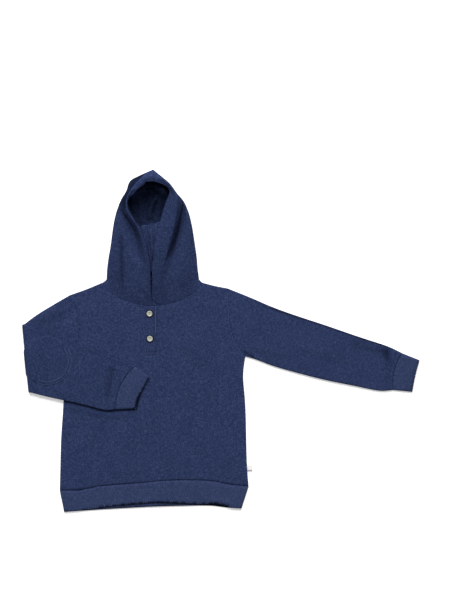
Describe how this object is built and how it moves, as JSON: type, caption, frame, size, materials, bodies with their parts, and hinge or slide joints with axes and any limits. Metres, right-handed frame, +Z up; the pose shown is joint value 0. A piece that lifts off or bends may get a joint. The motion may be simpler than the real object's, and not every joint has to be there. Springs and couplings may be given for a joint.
{
  "type": "toddler hoodie",
  "caption": "Toddler's hooded sweatshirt laid flat on its back, hood open, left sleeve stretched out, right sleeve folded at the elbow over the front, short buttoned placket.",
  "frame": {"origin": "middle of the laid garment's footprint, on the surface it lies on", "axes": "+X towards the cuff of the stretched sleeve, which is the wearer's left, +Y towards the hood, +Z up out of the surface"},
  "size_m": [0.7154, 0.6154, 0.04],
  "materials": {
    "fleece": "marled navy sweatshirt knit, matt",
    "rib": "navy rib knit, matt",
    "button": "cream, satin",
    "ribbon": "white woven ribbon"
  },
  "bodies": {
    "root": {"body_back": "fleece", "body_front": "fleece", "placket_under": "fleece", "placket_top": "fleece", "button_upper": "button", "button_lower": "button", "sleeve_left": "fleece", "cuff_left": "rib", "sleeve_right": "fleece", "elbow_patch": "fleece", "cuff_right": "rib", "hem_band": "rib", "hood_left": "fleece", "hood_right": "fleece", "side_label": "ribbon"}
  },
  "joints": []
}
